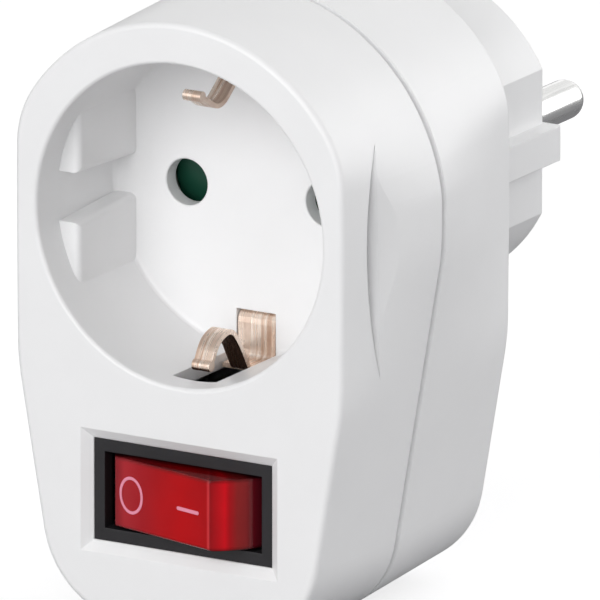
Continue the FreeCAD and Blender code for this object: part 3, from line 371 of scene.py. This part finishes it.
def red_lens():
    material = surfaced_material("red_lens", moulded, {
        "Drift": 0.16,
        "Roughness": 0.14,
        "Unevenness": 0.02,
        "Grain": 0.06,
        "Arris": 0.3 * mm,
    })
    tree = material.node_tree
    link = tree.links.new
    place = add(tree, "ShaderNodeTexCoord")
    from_pivot = add(tree, "ShaderNodeVectorMath", operation="SUBTRACT")
    link(place.outputs["Object"], from_pivot.inputs[0])
    from_pivot.inputs[1].default_value = rocker_pivot
    axes = add(tree, "ShaderNodeSeparateXYZ")
    link(from_pivot.outputs[0], axes.inputs[0])
    forward = add(tree, "ShaderNodeMath", operation="MULTIPLY")
    link(axes.outputs["Y"], forward.inputs[0])
    forward.inputs[1].default_value = -1.0
    angle = add(tree, "ShaderNodeMath", operation="ARCTAN2")
    link(axes.outputs["X"], angle.inputs[0])
    link(forward.outputs[0], angle.inputs[1])
    low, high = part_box("rocker_cover")
    half = (high.z - low.z) / 2
    height = add(tree, "ShaderNodeMath", operation="ABSOLUTE")
    link(axes.outputs["Z"], height.inputs[0])
    # Painted shade towards the rocker's upper and lower sides
    shade = remap(tree, height.outputs[0], 1.0, lens_side_painted_shade, half - lens_side_depth, half)
    shaded = add(tree, "ShaderNodeVectorMath", operation="SCALE")
    link(lens_ramp(tree, angle.outputs[0]), shaded.inputs[0])
    link(shade, shaded.inputs["Scale"])
    link(shaded.outputs[0], tree.nodes["surface"].inputs["Colour"])
    shader = tree.nodes["Principled BSDF"]
    shader.inputs["Transmission Weight"].default_value = 0.25
    shader.inputs["IOR"].default_value = 1.45
    shader.inputs["Specular IOR Level"].default_value = 0.3
    return material


def lamp_glass():
    material = moulded_plastic(
        "lamp_glass", (0.95, 0.75, 0.55),
        roughness=0.05, drift=0.02, unevenness=0.01, grain=0.0, arris=0.1 * mm,
    )
    shader = material.node_tree.nodes["Principled BSDF"]
    shader.inputs["Transmission Weight"].default_value = 0.9
    shader.inputs["IOR"].default_value = 1.5
    return material


# The other plastics, each with its colour and what sets its finish apart
plastics = {
    "white_shell": ((0.86, 0.86, 0.865), {"roughness": 0.36}),
    "cream_plastic": ((0.80, 0.77, 0.68), {"roughness": 0.45}),
    "green_plastic": ((0.006, 0.055, 0.032), {"roughness": 0.4, "drift": 0.1}),
    "black_plastic": (
        (0.017, 0.016, 0.018), {"roughness": 0.38, "drift": 0.08, "unevenness": 0.04, "grain": 0.3}),
    "sleeve_plastic": ((0.72, 0.74, 0.72), {"roughness": 0.35}),
    "resistor_body": ((0.50, 0.33, 0.15), {"roughness": 0.5}),
    "brown_insulation": ((0.10, 0.035, 0.018), {"roughness": 0.45, "drift": 0.08}),
    "blue_insulation": ((0.015, 0.07, 0.32), {"roughness": 0.45, "drift": 0.08}),
    "mark_print": ((0.86, 0.30, 0.42), {"roughness": 0.35, "drift": 0.03, "unevenness": 0.02, "grain": 0.1}),
}

# Streaks along a pin or wire, along a strip and across the copper strip, and then the other metals, each with
# its bright and dull colours
along_pin = (2500.0, 60.0, 2500.0)
along_strip = (900.0, 60.0, 60.0)
across_strip = (2600.0, 40.0, 40.0)
metals = {
    "plated_pin": ((0.80, 0.80, 0.79), (0.66, 0.66, 0.65), along_pin, {"roughness": 0.16}),
    "contact_brass": ((0.85, 0.66, 0.34), (0.60, 0.43, 0.20), along_strip, {"roughness": 0.26}),
    "screw_steel": ((0.66, 0.66, 0.68), (0.40, 0.40, 0.42), along_pin, {"roughness": 0.3}),
    "spring_steel": ((0.60, 0.60, 0.62), (0.38, 0.38, 0.40), along_pin, {"roughness": 0.28}),
}


def make_materials():
    materials = {
        "red_lens": red_lens(),
        "lamp_glass": lamp_glass(),
        "copper_strip": copper_strip(across_strip),
    }
    for name, (colour, finish) in plastics.items():
        materials[name] = moulded_plastic(name, colour, **finish)
    for name, (bright, dull, streaks, finish) in metals.items():
        materials[name] = rolled_metal(name, bright, dull, streaks, **finish)
    return materials


def dress_nodes(materials):
    for part in frame["record"]["subparts"]:
        piece = nodes[part["node"]]
        piece.data.materials.clear()
        piece.data.materials.append(materials[part["material_slot"]])


# The studio: a pale floor, soft lamps, and a surround with a bright backdrop behind, and dimmer sides and
# ceiling. The camera sees the surround and the floor near white, and the floor keeps the object's shadow.
# The object receives the floor's lit tone, and the camera sees its seen tone, partly mixed with a white glow.
floor_size = 4.0
floor_roughness = 0.7
floor_lit_tone = (0.27, 0.27, 0.28, 1.0)
floor_seen_tone = (0.82, 0.82, 0.83, 1.0)
floor_glow = 1.45
floor_glow_share = 0.5

# The surround's strength towards the front, and what each lobe adds to it or takes from it. A lobe goes from
# where it starts to where it is full, as parts of a unit direction along its axis.
surround_light = 0.45
backdrop_light = 0.7
backdrop_reach = (0.1, 0.9)
side_dimming = -0.03
side_reach = (0.5, 0.95)
ceiling_light = -0.2
ceiling_reach = (0.2, 0.95)


def seen_ray(tree):
    ray = add(tree, "ShaderNodeLightPath")
    either = add(tree, "ShaderNodeMath", operation="MAXIMUM")
    tree.links.new(ray.outputs["Is Camera Ray"], either.inputs[0])
    tree.links.new(ray.outputs["Is Transmission Ray"], either.inputs[1])
    return either.outputs[0]


def make_floor():
    half = floor_size / 2
    corners = [(x * half, y * half, cad_low.z) for x, y in ((-1, -1), (1, -1), (1, 1), (-1, 1))]
    mesh = bpy.data.meshes.new("floor")
    mesh.from_pydata(corners, [], [(0, 1, 2, 3)])
    floor = bpy.data.objects.new("floor", mesh)
    scene.collection.objects.link(floor)
    material = bpy.data.materials.new("pale_floor")
    material.use_nodes = True
    tree = material.node_tree
    link = tree.links.new
    shader = tree.nodes["Principled BSDF"]
    shader.inputs["Roughness"].default_value = floor_roughness
    seen = seen_ray(tree)
    tone = add(tree, "ShaderNodeMix", data_type="RGBA")
    tone.inputs["A"].default_value = floor_lit_tone
    tone.inputs["B"].default_value = floor_seen_tone
    link(seen, tone.inputs["Factor"])
    link(tone.outputs["Result"], shader.inputs["Base Color"])
    share = add(tree, "ShaderNodeMath", operation="MULTIPLY")
    link(seen, share.inputs[0])
    share.inputs[1].default_value = floor_glow_share
    glow = add(tree, "ShaderNodeEmission")
    glow.inputs["Strength"].default_value = floor_glow
    mix = add(tree, "ShaderNodeMixShader")
    link(share.outputs[0], mix.inputs["Fac"])
    link(shader.outputs[0], mix.inputs[1])
    link(glow.outputs[0], mix.inputs[2])
    link(mix.outputs[0], tree.nodes["Material Output"].inputs["Surface"])
    mesh.materials.append(material)


def make_world():
    world = bpy.data.worlds.new("studio")
    world.use_nodes = True
    scene.world = world
    tree = world.node_tree
    link = tree.links.new
    background = tree.nodes["Background"]
    background.inputs["Color"].default_value = (1.0, 1.0, 1.0, 1.0)
    place = add(tree, "ShaderNodeTexCoord")
    axes = add(tree, "ShaderNodeSeparateXYZ")
    link(place.outputs["Generated"], axes.inputs[0])
    aside = add(tree, "ShaderNodeMath", operation="ABSOLUTE")
    link(axes.outputs["X"], aside.inputs[0])
    lobes = [
        (axes.outputs["Y"], backdrop_reach, backdrop_light),
        (aside.outputs[0], side_reach, side_dimming),
        (axes.outputs["Z"], ceiling_reach, ceiling_light),
    ]
    total = None
    for value, (start, full), light in lobes:
        lobe = add(tree, "ShaderNodeMapRange", interpolation_type="SMOOTHSTEP")
        link(value, lobe.inputs["Value"])
        lobe.inputs["From Min"].default_value = start
        lobe.inputs["From Max"].default_value = full
        lobe.inputs["To Max"].default_value = light
        join = add(tree, "ShaderNodeMath", operation="ADD")
        link(lobe.outputs["Result"], join.inputs[0])
        if total is None:
            join.inputs[1].default_value = surround_light
        else:
            link(total, join.inputs[1])
        total = join.outputs[0]
    strength = add(tree, "ShaderNodeMix")
    link(seen_ray(tree), strength.inputs["Factor"])
    link(total, strength.inputs["A"])
    strength.inputs["B"].default_value = 1.0
    link(strength.outputs["Result"], background.inputs["Strength"])


def soft_lamp(name, turn, rise, distance, size, power):
    data = bpy.data.lights.new(name, "AREA")
    data.shape = "SQUARE"
    data.size = size
    data.energy = power
    place_round_aim(bpy.data.objects.new(name, data), turn, rise, distance)


def make_lamps():
    soft_lamp("front_softbox", turn=1, rise=13, distance=1.2, size=1.3, power=16.6)
    soft_lamp("side_softbox", turn=132, rise=4, distance=1.0, size=1.2, power=8.8)
    soft_lamp("top_softbox", turn=40, rise=75, distance=0.9, size=0.5, power=0.3)


# The rocker's printed marks, a ring and a dash, as thin plates that lie on its flat face. The face lies this
# far from the pivot, tilted as it is drawn, and the marks are measured along and across it from its middle.
# All lengths here are in millimetres.
rocker_rise = 8.1
rocker_tilt = math.radians(-13.2)
mark_lift = 0.02
mark_sides = 96
ring_place = -4.98
ring_width = 1.72
ring_height = 2.08
ring_line = 0.38
dash_place = 4.25
dash_length = 3.6
dash_line = 0.46


def on_rocker_face(along, up, lift):
    level = Vector((along * mm, -(rocker_rise + lift) * mm, up * mm))
    return rocker_pivot + Matrix.Rotation(rocker_tilt, 3, "Z") @ level


# A plate from one outline, or from an outer and an inner one. Without an inner one it is closed by flat ends.
def mark_mesh(name, outer, inner=None):
    shape = bmesh.new()
    levels = [(0.0, outer), (mark_lift, outer)]
    if inner is not None:
        levels += [(mark_lift, inner), (0.0, inner)]
    rings = []
    for lift, loop in levels:
        rings.append([shape.verts.new(on_rocker_face(along, up, lift)) for along, up in loop])
    if inner is None:
        for ring in rings:
            shape.faces.new(ring)
        pairs = [(rings[0], rings[1])]
    else:
        pairs = zip(rings, rings[1:] + rings[:1])
    for first, second in pairs:
        for i in range(mark_sides):
            j = (i + 1) % mark_sides
            shape.faces.new((first[i], first[j], second[j], second[i]))
    bmesh.ops.recalc_face_normals(shape, faces=shape.faces)
    mesh = bpy.data.meshes.new(name)
    shape.to_mesh(mesh)
    shape.free()
    piece = bpy.data.objects.new(name, mesh)
    scene.collection.objects.link(piece)
    return piece


mark_angles = [2 * math.pi * i / mark_sides for i in range(mark_sides)]


def ellipse(centre, width, height):
    return [(centre + width * math.cos(angle), height * math.sin(angle)) for angle in mark_angles]


def rounded_bar(centre, length, line):
    half = (length - line) / 2
    points = []
    for angle in mark_angles:
        end = half if math.cos(angle) >= 0 else -half
        points.append((centre + end + line / 2 * math.cos(angle), line / 2 * math.sin(angle)))
    return points


def make_marks(paint):
    outer = ellipse(ring_place, ring_width + ring_line / 2, ring_height + ring_line / 2)
    inner = ellipse(ring_place, ring_width - ring_line / 2, ring_height - ring_line / 2)
    off_mark = mark_mesh("off_mark", outer, inner)
    on_mark = mark_mesh("on_mark", rounded_bar(dash_place, dash_length, dash_line))
    for mark in (off_mark, on_mark):
        mark.data.materials.append(paint)
        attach(mark, "rocker")


make_camera()
make_world()
make_floor()
make_lamps()
materials = make_materials()
dress_nodes(materials)
make_marks(materials["mark_print"])

scene.view_settings.view_transform = "Standard"
